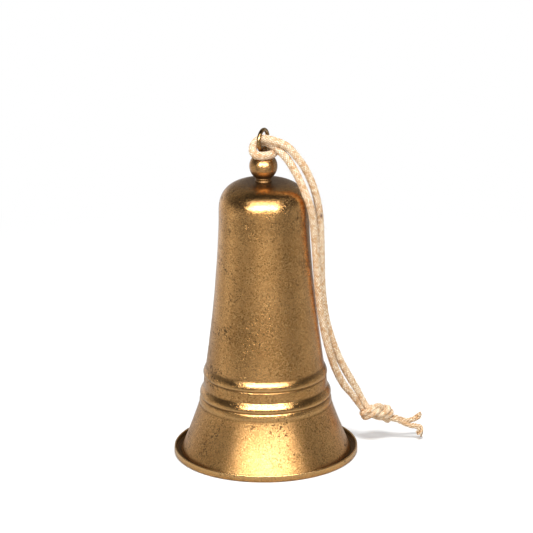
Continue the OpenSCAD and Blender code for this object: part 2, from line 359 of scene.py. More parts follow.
def iron_material(name, base, rough):
    """Dark forged iron with a worn, slightly rusty skin."""
    material, n, shader = new_material(name)
    where = n.add("ShaderNodeTexCoord").outputs["Object"]
    cloud = n.noise(where, 120, 4, 0.6, 0.5)
    fine = n.noise(where, 1400, 3, 0.6)
    rust = n.ramp(n.noise(where, 330, 4, 0.65, 0.4), 0.56, 0.74)
    colour = n.mix(n.ramp(cloud, 0.35, 0.7), base, rgb(*[min(1, 1.7 * c) for c in base[:3]]))
    colour = n.mix(n.math("MULTIPLY", rust, 0.6), colour, RUST)
    n.put(shader.inputs["Base Color"], colour)
    n.put(shader.inputs["Metallic"], n.math("MULTIPLY_ADD", rust, -0.6, 0.95))
    r = n.math("MULTIPLY_ADD", fine, 0.12, rough)
    n.put(shader.inputs["Roughness"], n.math("MULTIPLY_ADD", rust, 0.3, r))
    n.put(shader.inputs["Normal"], n.bump(n.math("MULTIPLY_ADD", cloud, 1.5, fine), 0.35, 0.00015))
    return material


def jute_material(name):
    """Pale jute yarn: fibres along the braid, tan and orange-brown flecks, orange-brown gaps between yarns darkened
    further as painted shade.
    """
    material, n, shader = new_material(name)
    uv = n.add("ShaderNodeUVMap", uv_map="cord").outputs[0]
    where = n.add("ShaderNodeTexCoord").outputs["Object"]
    yarn = n.attribute("yarn")
    depth = n.attribute("depth")
    stain = n.attribute("stain")
    stretched = n.add("ShaderNodeMapping", {"Vector": uv, "Scale": (2.6, 0.8, 1.0)}).outputs[0]
    fibre = n.noise(stretched, 2.4, 3, 0.6, 0.25)
    fleck = n.noise(where, 480, 3, 0.62, 0.6)
    blotch = n.noise(where, 170, 2, 0.5)
    colour = n.mix(n.ramp(yarn, 0.15, 0.85), rgb(0.78, 0.56, 0.35), rgb(1.0, 0.88, 0.67))
    colour = n.mix(n.math("MULTIPLY", n.ramp(fibre, 0.4, 0.68), 0.45), colour, rgb(1.0, 0.94, 0.78))
    colour = n.mix(n.math("MULTIPLY", n.ramp(fleck, 0.51, 0.58), 0.85), colour, rgb(0.6, 0.33, 0.15))
    colour = n.mix(n.math("MULTIPLY", n.ramp(blotch, 0.5, 0.75), 0.25), colour, rgb(0.62, 0.4, 0.22))
    # painted shade: the gaps between yarns darken, on top of their orange-brown tone
    colour = n.mix(n.math("MULTIPLY", n.ramp(depth, 0.9, 0.3), 0.8), colour, rgb(0.46, 0.26, 0.105))
    colour = n.mix(stain, colour, STAIN)
    n.put(shader.inputs["Base Color"], colour)
    n.put(shader.inputs["Roughness"], n.ramp(fibre, 0.3, 0.7, 0.95, 0.72))
    shader.inputs["Specular IOR Level"].default_value = 0.25
    shader.inputs["Sheen Weight"].default_value = 0.1
    shader.inputs["Sheen Roughness"].default_value = 0.5
    n.put(shader.inputs["Normal"], n.bump(n.math("ADD", fibre, fleck), 0.5, 0.0003))
    return material


BRASS = brass_material(
    "aged_brass", rgb(0.62, 0.335, 0.122), rgb(0.48, 0.245, 0.08), rgb(0.76, 0.47, 0.19), 0.19, 0.85, 0.62
)
FINIAL = brass_material(
    "finial_brass", rgb(0.52, 0.28, 0.105), rgb(0.33, 0.165, 0.06), rgb(0.66, 0.39, 0.155), 0.27, 0.2, 0.7
)
WIRE = brass_material(
    "wire_brass", rgb(0.5, 0.31, 0.13), rgb(0.3, 0.16, 0.06), rgb(0.72, 0.5, 0.22), 0.16, 0.0, 0.2
)
STEEL = iron_material("hanger_steel", rgb(0.2, 0.155, 0.1), 0.32)
IRON = iron_material("clapper_iron", rgb(0.13, 0.1, 0.07), 0.38)
JUTE = jute_material("jute")


# ---------------------------------------------------------------- cord: the CAD route, in millimetres
RING_Z = 169.4
RING_TURN = math.radians(65)
HITCH_ROUTE = [
    (9, -1, 0.2), (4.5, -1.5, 1.1), (0, -1.7, 1.2), (-2.4, -2.8, -0.1), (-3.5, -4.5, -2.4),
    (-2.9, -6.2, -4.8), (-1, -7.2, -6.1), (1.6, -6.9, -6.4), (4.3, -4.8, -6.4), (5.5, -1.8, -6.4),
    (5.4, 1.8, -6.4), (3.8, 4.8, -6.3), (1.2, 6.8, -6.2), (-2, 6.8, -5.6), (-4.1, 5.2, -4.4),
    (-3.9, 3.4, -2.9), (-2.3, 2.3, -1.7), (0, 1.7, -1.2), (4.5, 0.6, -1.9), (9, -0.5, -4),
]
STRAND_A_ROUTE = [
    (12.7, -5.4, 167.1), (16.8, -5.9, 162.5), (20.8, -6, 156.9), (24.4, -5.5, 149), (27, -5, 140.5),
    (28.6, -4.5, 131), (29.2, -3.5, 119), (29.4, -2.5, 107), (29.6, -1.5, 95), (30.4, -0.5, 83),
    (32, 1, 71.5), (34.8, 2.5, 60.5), (38.4, 4.5, 50), (43, 6.5, 40), (48, 8.8, 30.5), (52, 10.8, 23.6),
]
STRAND_B_ROUTE = [
    (12, -5.5, 161.2), (15.4, -6.6, 156), (18.6, -7.9, 149.9), (21.4, -8.9, 143.5), (23.8, -9.2, 136.7),
    (25.1, -8.7, 129.6), (26, -7.7, 120.4), (26.7, -6.6, 109.3), (27.3, -5.6, 98.3), (28.1, -5, 87.2),
    (29.4, -4.2, 76.2), (31.2, -2.6, 65.1), (33.8, -0.7, 54), (37, 2, 43.5), (41.3, 5, 34), (45.4, 7.4, 28),
    (49.6, 9.2, 23),
]
TAIL_A_ROUTE = [
    (65.4, 15.6, 12.4), (68.8, 16.6, 11.6), (72.4, 17.2, 9.9), (75.6, 17.6, 9.2), (78.2, 17.8, 9.9),
    (80.5, 17.8, 11.2), (82.6, 17.6, 12.6),
]
TAIL_B_ROUTE = [
    (65.4, 12.8, 12.2), (68.6, 13.3, 11.4), (72.2, 13.6, 9.7), (75.4, 13.8, 7.9), (78.4, 13.9, 7.5),
    (81, 13.9, 6.9), (82, 13.7, 5), (81.2, 13.4, 3.2), (80.3, 13.2, 2.3),
]
KNOT_CENTRE = np.array([58.4, 12.4, 15.8])
KNOT_AXIS = unit(np.array([16.0, 4.0, -9.0]))
KNOT_R = 1.5
KNOT_SIZE, KNOT_LENGTH = 0.85, 0.9
KNOT_SHIFT = (0.45, 0.3, 0.2)
KNOT_ROLL = math.radians(100)
KNOT_REACH = 8.6
CORD_STEP = 0.28
CORD_SIDES = 56
CORD_TAPER = 12
YARNS, BRAID_CELL, BRAID_RELIEF = 10, 1.75, 0.17
FUZZ_REACH = 1.5
TAIL_YARNS, TAIL_PITCH, TAIL_RELIEF, TAIL_LOW = 3, 1.7, 0.07, 0.75
STAIN_PLACE, STAIN_R = np.array([29.6, -6.2, 130.5]), 0.8


def ring_point(p):
    c, s = math.cos(RING_TURN), math.sin(RING_TURN)
    return (p[0] * s + p[1] * c, -p[0] * c + p[1] * s, RING_Z + p[2])


def overhand_knot(r):
    """Two parallel cords of radius r in an overhand knot along X, drawn tight: chains of points whose links
    shrink while the points stay a diameter apart."""
    lay_h, steps, tight = 2.4 * r, 600, 0.72
    lay = [
        (-26, 0, 0), (-18, 0, 0), (-11, -0.5, -lay_h), (-3, -3, 0), (4, -4.5, lay_h), (10, -2, 0),
        (12.5, 3, -lay_h), (7, 9.5, 0), (-3, 10, 0), (-9.5, 5, lay_h), (-12, -1, lay_h), (-8, -8, 0),
        (-1, -9.5, -lay_h), (4, -5, -lay_h), (7, 1, 0), (13, 3, lay_h), (20, 1, 0), (26, 0, 0),
    ]
    first = resample(smooth_line(lay, 0.5, 4), 1.2)
    count = len(first)
    pair = np.concatenate([first + (0, 0, -r), first + (0, 0, r)])
    first_link = np.linalg.norm(first[1] - first[0])
    cord_of, order = np.repeat([0, 1], count), np.tile(np.arange(count), 2)
    ends = (order == 0) | (order == count - 1)
    held = pair[ends].copy()
    for step in range(steps):
        link = first_link * (1 + (tight - 1) * min(1, step / (0.8 * steps)))
        if step % 40 == 0:
            near_on_cord = np.abs(order[:, None] - order[None]) * link <= 3.3 * r
            apart = (cord_of[:, None] != cord_of[None]) | ~near_on_cord
            a, b = np.nonzero(np.triu(apart, 1))
        bend = np.zeros_like(pair)
        bend[1:-1] = 0.5 * (pair[:-2] + pair[2:]) - pair[1:-1]
        bend[ends] = 0
        pair = pair + 0.2 * bend
        for _ in range(3):
            for q in (pair[:count], pair[count:]):
                for begin in (0, 1):
                    i = np.arange(begin, count - 1, 2)
                    d = q[i + 1] - q[i]
                    reach = np.linalg.norm(d, axis=1, keepdims=True)
                    move = 0.5 * (reach - link) / reach * d
                    q[i] += move
                    q[i + 1] -= move
            pair[ends] = held
            d = pair[b] - pair[a]
            gap = np.linalg.norm(d, axis=1)
            close = gap < 2 * r
            push = (0.5 * (2 * r - gap[close]) / np.maximum(gap[close], 1e-6))[:, None] * d[close]
            total, hits = np.zeros_like(pair), np.zeros(len(pair))
            for i, sign in ((a[close], -1), (b[close], 1)):
                np.add.at(total, i, sign * push)
                np.add.at(hits, i, 1)
            pair += total / np.maximum(hits, 1)[:, None] * 1.5
            pair[ends] = held
    return pair[:count], pair[count:]


def braid(angle, along):
    """Height of a round braid's surface as a share of its relief, and a number for the yarn on top: as many
    yarns wind one way as the other, over one and under one."""
    u = YARNS * angle / TURN + along / BRAID_CELL
    v = YARNS * angle / TURN - along / BRAID_CELL
    iu, iv = np.floor(u), np.floor(v)
    fu, fv = u - iu, v - iv
    over = (iu + iv) % 2 == 0
    across, by = np.where(over, fu, fv), np.where(over, fv, fu)
    bulge = np.sqrt(np.clip(1 - (2 * across - 1) ** 2, 0, 1)) * (0.4 + 0.6 * np.sin(math.pi * by))
    row = iu - iv
    return bulge, np.where(over, (iu % YARNS) * 7.31 + 1.7 * row, (iv % YARNS) * 3.77 + 2.3 * row + 91)


def scrambled(number):
    """A repeatable value from 0 to 1 for a number."""
    return np.modf(np.abs(np.sin(number * 12.9898 + 4.1) * 43758.5453))[0]


def cord_part(line, radius, phase):
    """One stretch of braided cord: points, faces, and each point's angle, distance, relief and yarn value."""
    profile = lambda a, s: 1 - BRAID_RELIEF + BRAID_RELIEF * braid(a, s)[0]
    points, faces, a, s = tube(line, radius, CORD_SIDES, phase=phase, profile=profile)
    bulge, number = braid(a, s)
    return points, faces, a, s, bulge, scrambled(number)


def fuzz(lines, radius, count, length, rng):
    """Loose fibres that stand off a cord: thin closed tubes rooted in its surface."""
    parts = []
    reach = int(length / CORD_STEP) + 2
    for line in lines:
        tangent, side, other = frames(line)
        for _ in range(count):
            i = rng.integers(1, len(line) - 1)
            turn = rng.uniform(0, TURN)
            out = math.cos(turn) * side[i] + math.sin(turn) * other[i]
            way = unit(rng.choice([-1, 1]) * tangent[i] + rng.uniform(0.15, 1.0) * out + rng.normal(0, 0.3, 3))
            curl = rng.normal(0, 0.35, 3) - 0.25 * out
            t = np.linspace(0, rng.uniform(0.35, 1.0) * length, 6)[:, None]
            path = line[i] + 0.9 * radius * out + t * way + curl * t ** 2 / length
            near = line[max(0, i - reach):i + reach]
            foot = near[np.linalg.norm(path[:, None] - near[None], axis=2).argmin(axis=1)]
            away = np.linalg.norm(path - foot, axis=1, keepdims=True)
            path = foot + (path - foot) * np.minimum(1, (radius + FUZZ_REACH) / away)
            points, faces, a, s = tube(path, np.linspace(0.045, 0.02, 6), 3)
            tone = rng.uniform(0.5, 1.0)
            parts.append((points, faces, a, s, np.ones(len(a)), np.full(len(a), tone)))
    return parts


def cord_object(name, parts):
    """One cord piece from its parts, with the yarn colour, relief, stain and lengthwise coordinates."""
    points, faces, a, s, bulge, yarn = joined(parts)
    obj = new_object(name, points, faces, "root", JUTE)
    mesh = obj.data
    stain = np.exp(-(np.linalg.norm((points - STAIN_PLACE) * (1, 1, 0.6), axis=1) / STAIN_R) ** 2)
    for key, value in (("yarn", yarn), ("depth", bulge), ("stain", stain)):
        mesh.attributes.new(key, "FLOAT", "POINT").data.foreach_set("value", value.astype(np.float32))
    loops = np.zeros(len(mesh.loops), np.int32)
    mesh.loops.foreach_get("vertex_index", loops)
    uv = mesh.uv_layers.new(name="cord")
    uv.data.foreach_set("uv", np.stack([a[loops] * 2, s[loops]], axis=1).astype(np.float32).ravel())
    return obj


def knot_in_place():
    """The two knotted cords in the part's frame, cut to the knot's own length."""
    side = unit(np.cross(KNOT_AXIS, (0.0, 1.0, 0.0)))
    up = np.cross(side, KNOT_AXIS)
    e1 = math.cos(KNOT_ROLL) * side + math.sin(KNOT_ROLL) * up
    base = np.stack([KNOT_AXIS, e1, np.cross(KNOT_AXIS, e1)])
    lines = []
    for line in overhand_knot(KNOT_R):
        line = (line - KNOT_SHIFT) * (KNOT_LENGTH, KNOT_SIZE, -KNOT_SIZE)
        line = line[np.abs(line[:, 0]) < KNOT_REACH]
        lines.append(line @ base + KNOT_CENTRE)
    return lines


HITCH = [ring_point(p) for p in HITCH_ROUTE]
knot_one, knot_two = knot_in_place()


def whole_cord():
    """The cord as one centreline from tail to tail, and the places along it where its named parts meet."""
    down_a = list(STRAND_A_ROUTE[:-1])
    down_b = list(STRAND_B_ROUTE[:-1])
    thin = slice(None, None, 2)
    pieces = [
        TAIL_A_ROUTE[::-1], knot_one[::-1][thin], down_a[::-1], HITCH, down_b, knot_two[thin], TAIL_B_ROUTE,
    ]
    points = np.concatenate([np.asarray(p, float) for p in pieces])
    line = smooth_line(points, CORD_STEP, 8)
    marks = []
    for a, b in zip(pieces[:-1], pieces[1:]):
        middle = 0.5 * (np.asarray(a[-1], float) + np.asarray(b[0], float))
        marks.append(int(np.linalg.norm(line - middle, axis=1).argmin()))
    return line, marks


cord_line, m = whole_cord()
cord_along = arc_length(cord_line)
at = [cord_along[i] for i in m]
cord_radius = np.interp(
    cord_along,
    [
        0, at[0], at[1], at[1] + CORD_TAPER, at[2] - CORD_TAPER, at[2],
        at[3], at[3] + CORD_TAPER, at[4] - CORD_TAPER, at[4], at[5], cord_along[-1],
    ],
    [1.2, 1.45, 1.62, 2.0, 2.05, 2.2, 2.2, 2.05, 2.0, 1.62, 1.45, 1.2],
)
RNG = np.random.default_rng(7)


def stretch(start, stop):
    return cord_part(cord_line[start:stop + 1], cord_radius[start:stop + 1], cord_along[start])


def plied_tail(line, plies, fan):
    """A tail whose twisted plies part towards its end: each ply a closed tube that ends at its own place."""
    _, side, other = frames(line)
    along = arc_length(line)
    yarn_turn = lambda a, s: TAIL_YARNS * a + TURN * s / TAIL_PITCH
    share = along / along[-1]
    parts = []
    for k in range(plies):
        turn = TURN * k / plies + along * 0.42 + 0.5 * np.sin(along * 0.7 + k)
        spread = 0.62 + fan * np.clip((share - 0.5) / 0.5, 0, 1) ** 1.5 * RNG.uniform(0.7, 1.3)
        path = line + spread[:, None] * (np.cos(turn)[:, None] * side + np.sin(turn)[:, None] * other)
        path = path[: len(path) - RNG.integers(0, 5)]
        path[:, 2] = np.maximum(path[:, 2], TAIL_LOW)
        path = averaged(path, 3)
        radius = np.interp(np.linspace(0, 1, len(path)), [0, 0.6, 0.93, 1], [0.72, 0.7, 0.74, 0.5])
        twist = lambda a, s: 1 + TAIL_RELIEF * np.sin(yarn_turn(a, s))
        points, faces, a, s = tube(path, radius, 18, profile=twist)
        relief = 0.5 + 0.5 * np.sin(yarn_turn(a, s))
        tone = scrambled(np.floor(yarn_turn(a, s) / TURN) % TAIL_YARNS + 5 * k + np.floor(s / 2.1))
        parts.append((points, faces, a, s + 40 * k, relief, tone))
    return parts + fuzz([line], 1.3, 90, 3.2, RNG)


line_a = cord_line[m[1]:m[2] + 3][::-1]
line_b = cord_line[m[3]:m[4] + 3]
knot_lines = [cord_line[m[0]:m[1] + 3], cord_line[m[4]:m[5] + 3]]
hitch = cord_object(
    "jute_hitch", [stretch(m[2], m[3] + 2)] + fuzz([cord_line[m[2]:m[3]]], 2.15, 120, 3.5, RNG)
)
strand_a = cord_object("jute_strand_a", [stretch(m[1], m[2] + 2)] + fuzz([line_a], 1.95, 330, 4, RNG))
strand_b = cord_object("jute_strand_b", [stretch(m[3], m[4] + 2)] + fuzz([line_b], 1.95, 330, 4, RNG))
knot = cord_object(
    "jute_knot", [stretch(m[0] - 4, m[1] + 2), stretch(m[4], m[5] + 4)] + fuzz(knot_lines, 1.55, 110, 3, RNG)
)
tail_a = cord_object("jute_tail_a", plied_tail(cord_line[:m[0] + 1][::-1], 4, 0.5))
tail_b = cord_object("jute_tail_b", plied_tail(cord_line[m[5]:], 4, 1.1))
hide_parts("cord_hitch")
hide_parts("cord_strand_a")
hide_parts("cord_strand_b")
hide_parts("cord_knot")
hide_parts("cord_tail_a")
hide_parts("cord_tail_b")


# ---------------------------------------------------------------- bell shell: the CAD profile, finer
LIP_R, LIP_H, WALL = 48.0, 3.75, 0.9
FLARE_END_R, FLARE_POWER, FLARE_Z, FLARE_R = 44.4, 1.12, 28.1, 34.55
CROWN_Z, SHOULDER_H, CROWN_FLAT_R, SHOULDER_POWER = 147.5, 16.5, 5.0, 2.6
BODY_TOP_R, BODY_SPREAD, BODY_SPAN, BODY_POWER = 23.35, 7.13, 80.0, 1.57
SHOULDER_Z = CROWN_Z - SHOULDER_H
RIDGE_TOP_Z, RIDGE_PITCH, RIDGE_FACE_H, RIDGE_STEP, GROOVE_H = 48.3, 11.1, 4.3, 0.7, 0.9
RIDGE_1_R, RIDGE_2_R, BAND_R, BEAD_R, BEAD_Z = 32.4, 34.3, 32.35, 34.6, 28.9
GUTTER_FILLET, LIP_FILLET, FOOT_ROUND, MOUTH_ROUND = 0.7, 0.65, 1.0, 0.7
WALL_R = WALL * 1.06
HOLE_R = 1.7
SHELL_SIDES = 216


def arc(centre, radius, start, stop, steps=8):
    a = np.radians(np.linspace(start, stop, steps + 1))
    return np.stack([centre[0] + radius * np.cos(a), centre[1] + radius * np.sin(a)], axis=1)


def shoulder(inset, drop, steps=60):
    a = np.linspace(0, math.pi / 2, steps + 1)
    power = 2 / SHOULDER_POWER
    r = CROWN_FLAT_R + (BODY_TOP_R - inset - CROWN_FLAT_R) * np.sin(a) ** power
    return np.stack([r, SHOULDER_Z + (SHOULDER_H - drop) * np.clip(np.cos(a), 0, 1) ** power], axis=1)


def body_r(z):
    return BODY_TOP_R + BODY_SPREAD * ((SHOULDER_Z - z) / BODY_SPAN) ** BODY_POWER


def ridge(start_r, full_r, top):
    t = np.linspace(0, 1, 13)[1:]
    face = np.stack([start_r + (full_r - start_r) * np.sin(t * math.pi / 2), top - RIDGE_FACE_H * t], axis=1)
    low = top - RIDGE_FACE_H
    step = [[full_r - RIDGE_STEP * 0.25, low - GROOVE_H * 0.55], [full_r - RIDGE_STEP, low - GROOVE_H]]
    return np.concatenate([face, step])


def shell_side():
    z = np.linspace(SHOULDER_Z, RIDGE_TOP_Z, 41)[1:]
    top_2 = RIDGE_TOP_Z - RIDGE_PITCH
    groove_1, groove_2 = RIDGE_TOP_Z - RIDGE_FACE_H - GROOVE_H, top_2 - RIDGE_FACE_H - GROOVE_H
    drop = np.linspace(0, 1, 31)
    flare_low = WALL + GUTTER_FILLET
    return np.concatenate([
        np.stack([body_r(z), z], axis=1),
        ridge(body_r(RIDGE_TOP_Z), RIDGE_1_R, RIDGE_TOP_Z),
        [[RIDGE_1_R - RIDGE_STEP + 0.35, groove_1 - 0.7], [BAND_R, top_2]],
        ridge(BAND_R, RIDGE_2_R, top_2),
        [[RIDGE_2_R - RIDGE_STEP + 0.5, groove_2 - 0.7], [BEAD_R - 0.1, BEAD_Z + 0.9], [BEAD_R, BEAD_Z]],
        np.stack([FLARE_R + (FLARE_END_R - FLARE_R) * drop ** FLARE_POWER,
                  FLARE_Z + (flare_low - FLARE_Z) * drop], axis=1),
    ])


def rounded(points, step=0.16, passes=3):
    """A profile with its sharp corners worn round, thinned again where it is straight."""
    return keep_corners(averaged(resample(points, step), passes), 0.006, 2.2)


def shell_profile():
    lip_top_r = WALL / 2
    outer = np.concatenate([
        [[HOLE_R, CROWN_Z]], shoulder(0, 0), shell_side(),
        arc([FLARE_END_R + GUTTER_FILLET, WALL + GUTTER_FILLET], GUTTER_FILLET, 190, 270),
        arc([LIP_R - WALL - LIP_FILLET, WALL + LIP_FILLET], LIP_FILLET, 270, 360),
        arc([LIP_R - lip_top_r, LIP_H - lip_top_r], lip_top_r, 180, 0, 14),
        arc([LIP_R - FOOT_ROUND, FOOT_ROUND], FOOT_ROUND, 0, -90),
    ])
    side = shell_side()[::-1] - (WALL_R, 0)
    inner = np.concatenate([
        arc([FLARE_END_R - WALL_R + MOUTH_ROUND, MOUTH_ROUND], MOUTH_ROUND, 270, 190),
        side, shoulder(WALL_R, WALL)[::-1], [[HOLE_R, CROWN_Z - WALL]],
    ])
    return rounded(outer), rounded(inner, 0.4, 3)


def dents(angle, z):
    """The slight unevenness of hand-finished sheet, in millimetres."""
    waves = [(2, 31, 0.3, 0.035), (3, 47, 1.9, 0.03), (5, 23, 4.1, 0.018), (7, 16, 2.2, 0.012), (11, 11, 5.2, 0.006)]
    total = 0
    for around, height, phase, size in waves:
        total = total + size * np.sin(around * angle + phase) * np.sin(TURN * z / height + 1.7 * phase)
    fade = np.clip((z - 4.5) / 6, 0, 1) * np.clip((CROWN_Z - 1 - z) / 10, 0, 1)
    return total * fade - 0.03 * fade


def mask(obj, name, values):
    obj.data.attributes.new(name, "FLOAT", "POINT").data.foreach_set("value", np.asarray(values, np.float32))


def shell_masks(points):
    """Where the shell's rubbed edges carry a painted highlight, where painted shade and grime sit in grooves, gutter
    and round the collar, where it is dull and where it is pitted.
    """
    r, z = np.hypot(points[:, 0], points[:, 1]), points[:, 2]
    low_1, low_2 = RIDGE_TOP_Z - RIDGE_FACE_H, RIDGE_TOP_Z - RIDGE_PITCH - RIDGE_FACE_H
    bump = lambda centre, width: np.exp(-((z - centre) / width) ** 2)
    # painted highlight: the lower edges of both ridges, the bead and the lip's rim are lightened as rubbed, bright
    # edges
    wear_and_highlight = 0.7 * bump(low_1 + 0.2, 0.7) + 0.7 * bump(low_2 + 0.2, 0.7) + 0.6 * bump(BEAD_Z + 0.3, 1.0)
    wear_and_highlight += np.where(r > LIP_R - 1.6, np.clip((z - 0.5) / 2, 0, 1), 0)
    # painted shade: darker under each ridge's step, at the top of ridge one and the flare's corner, in the gutter by
    # the lip and on the crown round the collar
    shade_and_grime = 0.75 * bump(low_1 - 0.95, 0.3) + 0.75 * bump(low_2 - 0.95, 0.3) + 0.5 * bump(RIDGE_TOP_Z - 0.3, 0.8)
    shade_and_grime += 0.3 * bump(RIDGE_TOP_Z - RIDGE_PITCH, 0.35) + 0.5 * bump(FLARE_Z - 0.4, 0.4)
    shade_and_grime += np.where((r > FLARE_END_R - 0.2) & (r < LIP_R - 1.1) & (z < 2.4), 1.0, 0)
    shade_and_grime += np.where(z > SHOULDER_Z, 0.85 * np.exp(-(r / 14.5) ** 4), 0)
    shade_and_grime += np.where((r > FLARE_END_R) & (r < LIP_R - 0.7) & (z < 3.2), 0.7, 0)
    band = (z > RIDGE_TOP_Z - RIDGE_PITCH - RIDGE_FACE_H) & (z < RIDGE_TOP_Z)
    matt = np.where(z > FLARE_Z, np.where(band, 0.05, 0.4), 0.75) * np.clip((CROWN_Z + 4 - z) / 30, 0.15, 1)
    turn = np.arctan2(points[:, 0], -points[:, 1])
    pitted = np.exp(-((turn + 0.25) / 0.5) ** 2 - ((z - 72) / 17) ** 2) + 0.5 * np.exp(-((z - 129) / 5) ** 2)
    return np.clip(wear_and_highlight, 0, 1), np.clip(shade_and_grime, 0, 1), matt, pitted


outer, inner = shell_profile()
whole = np.concatenate([outer, inner])
shell_points, shell_faces = revolve(whole, SHELL_SIDES, True, dents)
shell = new_object("bell_shell_spun", shell_points, shell_faces, "root", BRASS)
wear_and_highlight, shade_and_grime, matt, pitted = shell_masks(shell_points)
is_inner = np.repeat(np.arange(len(whole)) >= len(outer), SHELL_SIDES)
mask(shell, "wear_and_highlight", np.where(is_inner, 0, wear_and_highlight))
# painted shade: the whole inside of the shell is darkened evenly
mask(shell, "shade_and_grime", np.where(is_inner, 0.35, shade_and_grime))
mask(shell, "matt", np.where(is_inner, 0.9, matt))
mask(shell, "pitted", np.where(is_inner, 0, pitted))
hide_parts("bell_shell")


# ---------------------------------------------------------------- finial
BALL_R, BALL_Z, COLLAR_R, COLLAR_BORE = 7.3, 155.6, 4.4, 1.55
RING_R, RING_WIRE, RING_SHANK = 5.45, 1.05, 6


def finial_ball():
    profile = arc([0, BALL_Z], BALL_R, -90, 90, 72)
    profile[[0, -1], 0] = 0
    wobble = lambda a, z: 0.03 * np.sin(2 * a + 1) * np.sin((z - BALL_Z) / 2.4) - 0.03
    points, faces = revolve(profile, 96, False, wobble)
    obj = new_object("finial_ball_turned", points, faces, "root", FINIAL)
    mask(obj, "wear_and_highlight", np.zeros(len(points)))
    # painted shade: the ball darkens towards its underside
    mask(obj, "shade_and_grime", np.clip((BALL_Z - 1.5 - points[:, 2]) / 3, 0, 1) * 0.95)
    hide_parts("finial_ball")


def finial_collar():
    top = BALL_Z - math.sqrt(BALL_R ** 2 - COLLAR_R ** 2)
    profile = np.array([
        [COLLAR_BORE, CROWN_Z], [COLLAR_R - 0.1, CROWN_Z],
        [COLLAR_R, CROWN_Z + 0.35], [COLLAR_R - 0.25, CROWN_Z + 0.75],
        [COLLAR_R - 0.55, CROWN_Z + 1.1], [COLLAR_R - 0.5, top - 0.9], [COLLAR_R - 0.1, top - 0.45],
        [COLLAR_R - 0.15, top - 0.1], [COLLAR_R - 0.5, top], [COLLAR_BORE, top],
    ])
    points, faces = revolve(rounded(profile, 0.08, 3), 96, True)
    obj = new_object("finial_collar_turned", points, faces, "root", FINIAL)
    z = points[:, 2]
    # painted highlight: a bright band just below the collar's top
    mask(obj, "wear_and_highlight", np.exp(-((z - top + 0.5) / 0.35) ** 2))
    # painted shade: the collar is darkened all over, most at its foot on the crown
    mask(obj, "shade_and_grime", 0.7 + 0.25 * np.exp(-((z - CROWN_Z) / 0.5) ** 2))
    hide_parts("finial_collar")


def circle(centre, radius, e1, e2, steps):
    a = TURN * np.arange(steps) / steps
    return np.array(centre) + radius * (np.cos(a)[:, None] * np.array(e1) + np.sin(a)[:, None] * np.array(e2))


def finial_ring():
    c, s = math.cos(RING_TURN), math.sin(RING_TURN)
    hoop = tube(circle((0, 0, RING_Z), RING_R, (c, s, 0), (0, 0, 1), 120), RING_WIRE, 28, closed=True)
    z = np.linspace(BALL_Z + BALL_R - RING_SHANK, RING_Z - RING_R, 14)
    shank = tube(np.stack([0 * z, 0 * z, z], axis=1), RING_WIRE, 28)
    points, faces = joined([hoop[:2], shank[:2]])[:2]
    obj = new_object("ring_eye_wire", points, faces, "root", WIRE)
    for key in ("wear_and_highlight", "shade_and_grime"):
        mask(obj, key, np.zeros(len(points)))
    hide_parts("ring_eye")


finial_ball()
finial_collar()
finial_ring()


# ---------------------------------------------------------------- clapper and its hanger
STUD_R, STUD_TOP, EYE_R, EYE_WIRE, EYE_Z = 1.5, 152.5, 3.4, 1.0, 138.6
WASHER_R, WASHER_Z, WASHER_H, NUT_FLATS, NUT_Z = 4.5, 145.8, 0.8, 5.5, 143.4
LINK_R, LINK_WIRE, LINK_Z = 3.6, 0.9, 133.75
ROD_R, ROD_EYE_R, ROD_EYE_WIRE, ROD_EYE_Z, ROD_END_Z = 1.25, 3.0, 0.9, 129.2, 12.8
STRIKE_R, STRIKE_Z, STRIKE_FLAT = 9.0, 24.0, 8.6
END_NUT_FLATS, END_NUT_H = 5.0, 2.0
FORWARD_X, FORWARD_Y, UPWARD = (1, 0, 0), (0, 1, 0), (0, 0, 1)


def threaded_rod(radius, low, high, cut_low, cut_high):
    """A rod whose part between two heights carries a screw thread; the rest is slightly uneven."""
    pitch, depth, lead_in = 0.5, 0.24, 0.35
    coarse, fine = 1.5, 0.1
    z = np.concatenate([
        np.arange(low, cut_low, coarse), np.arange(max(low, cut_low), min(high, cut_high), fine),
        np.arange(cut_high, high, coarse), [high],
    ])
    edge = np.clip(np.minimum(z - low, high - z) / lead_in, 0, 1)
    profile = np.stack([radius - lead_in * (1 - edge) * 0.7, z], axis=1)
    profile = np.concatenate([[[0, low]], profile, [[0, high]]])[::-1]

    def wave(angle, height):
        inside = (height > cut_low) & (height < cut_high)
        phase = np.mod(height / pitch - angle / TURN, 1)
        thread = -depth * np.abs(2 * phase - 1)
        return np.where(inside, thread, 0.015 * np.sin(height / 2.1 + 2 * angle) - 0.015)

    return revolve(profile, 36, False, wave)


def wire_ring(height, radius, wire, across):
    return tube(circle((0, 0, height), radius, across, UPWARD, 96), wire, 24, closed=True)[:2]


def hex_nut(name, flats, low, high, bore, node, body):
    """A six-sided nut with both faces chamfered."""
    steps, chamfer, bevel = 96, 0.95, 0.25
    angle = TURN * np.arange(steps) / steps
    corner = flats / 2 / np.cos(np.mod(angle, TURN / 6) - TURN / 12)
    face = np.full(steps, flats / 2 * chamfer)
    drop = (corner - face) * math.tan(TURN / 12)
    flat = np.zeros(steps)
    rows = [
        (flat + bore + bevel, flat + high), (face, flat + high), (corner, high - drop), (corner, low + drop),
        (face, flat + low), (flat + bore + bevel, flat + low), (flat + bore, flat + low + bevel),
        (flat + bore, flat + high - bevel),
    ]
    points = np.concatenate([np.stack([r * np.cos(angle), r * np.sin(angle), z], axis=1) for r, z in rows])
    obj = new_object(name, points, grid_faces(len(rows), steps, True), body, STEEL)
    obj.data.polygons.foreach_set("use_smooth", [False] * len(obj.data.polygons))
    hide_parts(node)


